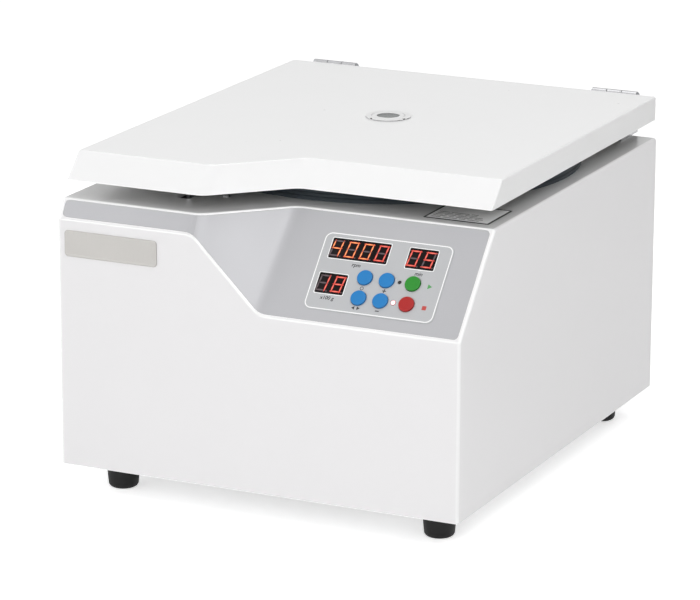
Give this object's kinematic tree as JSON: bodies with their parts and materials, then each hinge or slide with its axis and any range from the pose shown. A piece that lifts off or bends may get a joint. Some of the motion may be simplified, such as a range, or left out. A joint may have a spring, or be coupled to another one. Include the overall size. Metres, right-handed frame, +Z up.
{
  "type": "microplate centrifuge",
  "caption": "Bench centrifuge with a stepped sloping control panel, a rear-hinged lid over a round chamber, and a swing-out rotor with microplate buckets.",
  "frame": {"origin": "on the bench under the feet, below the middle of the outline from name plate to hinge barrels", "axes": "+X to the instrument's right as seen from its front, +Y from front to rear, +Z up"},
  "size_m": [0.36, 0.4378, 0.2901],
  "materials": {
    "white_paint": "semi-gloss fine powder coat",
    "lid_paint": "semi-gloss fine powder coat",
    "liner_white": "satin moulded sheet",
    "base_steel": "satin",
    "silver_film": "satin silver film",
    "overlay_grey": "fine matt polyester",
    "display_dark": "smoked red lens",
    "led_red": "clear epoxy",
    "board_green": "solder mask",
    "plate_grey": "brushed and anodised",
    "label_black": "printed film",
    "button_blue": "satin",
    "button_green": "satin",
    "button_red": "satin",
    "seal_rubber": "smooth moulded rubber",
    "black_rubber": "matt moulded rubber",
    "bowl_steel": "spun and brushed",
    "bright_steel": "turned or plated",
    "guard_steel": "rolled plate",
    "motor_casing": "dark enamel",
    "rotor_alloy": "anodised",
    "bucket_alloy": "anodised",
    "window_white": "moulded",
    "clear_glass": "clear",
    "black_plastic": "fine textured moulding"
  },
  "bodies": {
    "housing": {"casing": "white_paint", "rear_panel": "white_paint", "mains_plate": "white_paint", "base_plate": "base_steel", "fascia_film": "silver_film", "control_overlay": "overlay_grey", "speed_display": "display_dark", "time_display": "display_dark", "rcf_display": "display_dark", "indicator_leds": "led_red", "control_board": "board_green", "drive_board": "board_green", "name_plate": "plate_grey", "deck_label": "label_black", "deck_screw": "bright_steel", "chamber_seal": "seal_rubber", "chamber_bowl": "bowl_steel", "bowl_floor": "bowl_steel", "guard_ring": "guard_steel", "bowl_boot": "black_rubber", "motor_body": "motor_casing", "motor_mount": "bright_steel", "rubber_dampers": "black_rubber", "hinge_base_left": "bright_steel", "hinge_base_right": "bright_steel", "hinge_pins": "guard_steel", "hinge_base_screws": "bright_steel", "lock_frame": "bright_steel", "lock_solenoid": "black_plastic", "power_inlet": "black_plastic", "switch_frame": "black_plastic", "fuse_holder": "black_plastic", "foot_front_left": "black_rubber", "foot_front_right": "black_rubber", "foot_rear_left": "black_rubber", "foot_rear_right": "black_rubber", "base_screws": "bright_steel", "rear_screws": "bright_steel"},
    "lid": {"lid_shell": "lid_paint", "lid_liner": "liner_white", "window_ring": "window_white", "sight_glass": "clear_glass", "lid_hook": "bright_steel", "hinge_leaf_left": "bright_steel", "hinge_leaf_right": "bright_steel", "hinge_leaf_screws": "bright_steel"},
    "rotor": {"spindle": "bright_steel", "rotor_yoke": "rotor_alloy", "trunnion_pins": "bright_steel", "rotor_nut": "bright_steel"},
    "bucket_a": {"bucket_a": "bucket_alloy"},
    "bucket_b": {"bucket_b": "bucket_alloy"},
    "power_rocker": {"power_rocker": "black_plastic"},
    "lock_bolt": {"lock_bolt": "bright_steel"},
    "button_set": {"button_set": "button_blue"},
    "button_plus": {"button_plus": "button_blue"},
    "button_start": {"button_start": "button_green"},
    "button_mode": {"button_mode": "button_blue"},
    "button_minus": {"button_minus": "button_blue"},
    "button_stop": {"button_stop": "button_red"}
  },
  "joints": [
    {"name": "lid_hinge", "type": "hinge", "parent": "housing", "child": "lid", "pos_m": [0, 0.21495, 0.2861], "axis": [-1, 0, 0], "range_deg": [0, 80]},
    {"name": "rotor_spin", "type": "hinge", "parent": "housing", "child": "rotor", "pos_m": [0, 0.03505, 0.188], "axis": [0, 0, 1], "continuous": true},
    {"name": "bucket_a_swing", "type": "hinge", "parent": "rotor", "child": "bucket_a", "pos_m": [0.066, 0.03505, 0.188], "axis": [0, -1, 0], "range_deg": [0, 90]},
    {"name": "bucket_b_swing", "type": "hinge", "parent": "rotor", "child": "bucket_b", "pos_m": [-0.066, 0.03505, 0.188], "axis": [0, 1, 0], "range_deg": [0, 90]},
    {"name": "press_set", "type": "slide", "parent": "housing", "child": "button_set", "axis": [0, 0.7523, -0.6589], "range_m": [0, 0.001], "stiffness_N_per_m": 600, "springref_m": -0.0005},
    {"name": "press_plus", "type": "slide", "parent": "housing", "child": "button_plus", "axis": [0, 0.7523, -0.6589], "range_m": [0, 0.001], "stiffness_N_per_m": 600, "springref_m": -0.0005},
    {"name": "press_start", "type": "slide", "parent": "housing", "child": "button_start", "axis": [0, 0.7523, -0.6589], "range_m": [0, 0.001], "stiffness_N_per_m": 600, "springref_m": -0.0005},
    {"name": "press_mode", "type": "slide", "parent": "housing", "child": "button_mode", "axis": [0, 0.7523, -0.6589], "range_m": [0, 0.001], "stiffness_N_per_m": 600, "springref_m": -0.0005},
    {"name": "press_minus", "type": "slide", "parent": "housing", "child": "button_minus", "axis": [0, 0.7523, -0.6589], "range_m": [0, 0.001], "stiffness_N_per_m": 600, "springref_m": -0.0005},
    {"name": "press_stop", "type": "slide", "parent": "housing", "child": "button_stop", "axis": [0, 0.7523, -0.6589], "range_m": [0, 0.001], "stiffness_N_per_m": 600, "springref_m": -0.0005},
    {"name": "rocker_tilt", "type": "hinge", "parent": "housing", "child": "power_rocker", "pos_m": [0.072, 0.19905, 0.065], "axis": [-1, 0, 0], "range_deg": [0, 16]},
    {"name": "bolt_slide", "type": "slide", "parent": "housing", "child": "lock_bolt", "axis": [-1, 0, 0], "range_m": [0, 0.012]}
  ]
}
